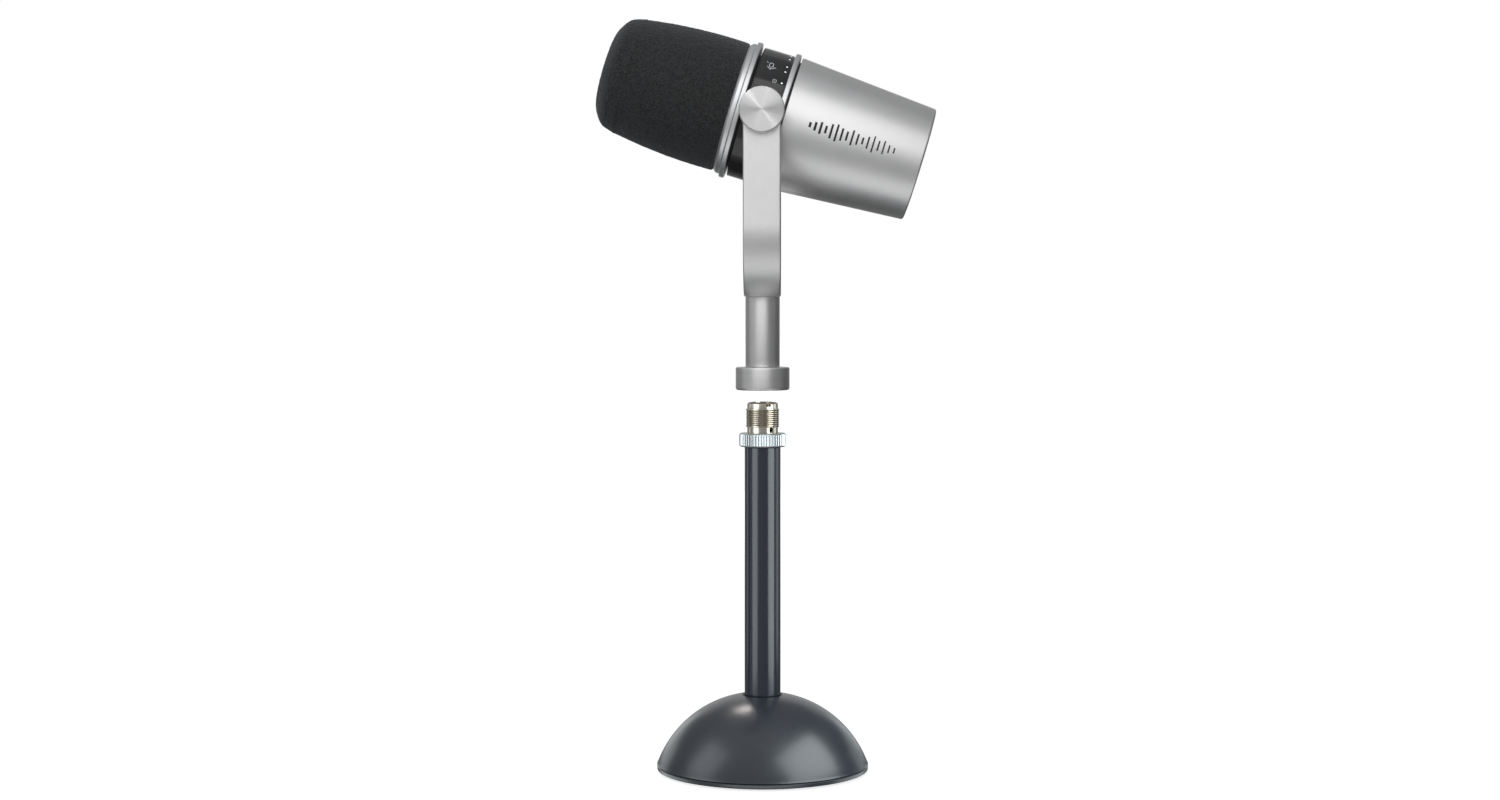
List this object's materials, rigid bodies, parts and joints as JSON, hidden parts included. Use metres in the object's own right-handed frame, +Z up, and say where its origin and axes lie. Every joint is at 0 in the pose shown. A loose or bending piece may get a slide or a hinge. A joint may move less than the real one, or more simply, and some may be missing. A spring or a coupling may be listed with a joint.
{
  "type": "desktop microphone",
  "caption": "End-address desktop microphone with a foam windscreen, tilting in a U yoke on a threaded post over a domed tabletop stand.",
  "frame": {"origin": "centre of the base's underside, on the surface that it stands on", "axes": "+Z up along the stand's tube, +Y along the pivot's axis from the near knob to the far knob, +X towards the microphone's rear, so the nose points to -X and up at 17 degrees"},
  "size_m": [0.1598, 0.0998, 0.3538],
  "materials": {
    "cast_base": "semi-gloss dark paint over cast metal",
    "base_rubber": "matt",
    "fastener_steel": "zinc plated",
    "plug_steel": "turned",
    "tube_paint": "semi-gloss dark paint",
    "nickel_thread": "worn nickel plating",
    "bright_ring": "bright plated, knurled",
    "slip_washer": "low-friction plastic",
    "satin_collar": "satin, turned",
    "post_metal": "turned",
    "yoke_metal": "satin, bead blasted",
    "knob_metal": "face turned in fine rings",
    "friction_pad": "matt",
    "foam": "open-cell foam",
    "black_steel": "matt black paint",
    "bright_trim": "polished and anodised",
    "cast_core": "die cast",
    "insert_brass": "turned",
    "gloss_black": "high gloss",
    "light_plastic": "clear, lit white",
    "circuit_board": "solder mask",
    "silver_shell": "satin, lacquered",
    "black_plastic": "moulded",
    "gold_contact": "gold plated",
    "port_steel": "nickel plated",
    "wire_sleeve": "insulation",
    "mount_rubber": "soft",
    "capsule_metal": "turned",
    "film": "thin moulded film",
    "coil_copper": "enamelled winding",
    "magnet_iron": "plated"
  },
  "bodies": {
    "stand": {"base_dome": "cast_base", "base_pad": "base_rubber", "tube_washer": "fastener_steel", "tube_nut": "fastener_steel", "lower_plug": "plug_steel", "stand_tube": "tube_paint", "thread_insert": "nickel_thread"},
    "lock_ring": {"lock_ring": "bright_ring"},
    "mount_washer": {"thrust_washer": "slip_washer"},
    "collar": {"collar": "satin_collar"},
    "yoke": {"stem_post": "post_metal", "stem_sleeve": "satin_collar", "yoke": "yoke_metal", "stem_screw": "fastener_steel", "stem_screw_washer": "fastener_steel", "arm_washers": "friction_pad", "pivot_spacers": "friction_pad"},
    "near_knob": {"near_knob": "knob_metal", "near_stud": "post_metal"},
    "far_knob": {"far_knob": "knob_metal", "far_stud": "post_metal"},
    "head": {"grille": "black_steel", "front_bezel": "bright_trim", "front_lip_ring": "bright_trim", "chassis": "cast_core", "pivot_inserts": "insert_brass", "control_band": "gloss_black", "touch_panel": "gloss_black", "light_pipes": "light_plastic", "touch_board": "circuit_board", "rear_ring": "bright_trim", "housing": "silver_shell", "rear_panel": "cast_core", "panel_screws": "fastener_steel", "tie_rods": "insert_brass", "xlr_shell": "black_steel", "xlr_insert": "black_plastic", "xlr_pins": "gold_contact", "xlr_wires": "wire_sleeve", "usb_shell": "port_steel", "usb_tongue": "black_plastic", "headphone_jack": "black_plastic", "board_tray": "black_plastic", "main_board": "circuit_board", "board_components": "black_plastic", "board_screws": "fastener_steel", "capsule_carrier": "black_plastic", "capsule_mount": "mount_rubber", "capsule_body": "capsule_metal", "capsule_cap": "capsule_metal", "diaphragm": "film", "voice_coil": "coil_copper", "magnet": "magnet_iron", "capsule_leads": "wire_sleeve"},
    "windscreen": {"windscreen": "foam"}
  },
  "joints": [
    {"name": "mic_lift", "type": "slide", "parent": "stand", "child": "mount_washer", "axis": [0, 0, 1], "range_m": [-0.0129, 0.04]},
    {"name": "mic_swivel", "type": "hinge", "parent": "mount_washer", "child": "yoke", "pos_m": [0, 0, 0.1874], "axis": [0, 0, 1], "continuous": true},
    {"name": "collar_turn", "type": "hinge", "parent": "yoke", "child": "collar", "pos_m": [0, 0, 0.1849], "axis": [0, 0, 1], "continuous": true},
    {"name": "lock_ring_turn", "type": "hinge", "parent": "stand", "child": "lock_ring", "pos_m": [0, 0, 0.1562], "axis": [0, 0, 1], "continuous": true},
    {"name": "mic_tilt", "type": "hinge", "parent": "yoke", "child": "head", "pos_m": [0, 0, 0.30821], "axis": [0, 1, 0], "range_deg": [-77, 43]},
    {"name": "near_knob_turn", "type": "hinge", "parent": "yoke", "child": "near_knob", "pos_m": [0, 0, 0.30821], "axis": [0, -1, 0], "range_deg": [0, 540]},
    {"name": "far_knob_turn", "type": "hinge", "parent": "yoke", "child": "far_knob", "pos_m": [0, 0, 0.30821], "axis": [0, 1, 0], "range_deg": [0, 540]},
    {"name": "windscreen_pull", "type": "slide", "parent": "head", "child": "windscreen", "axis": [-0.9563, 0, 0.2924], "range_m": [0, 0.07]}
  ]
}
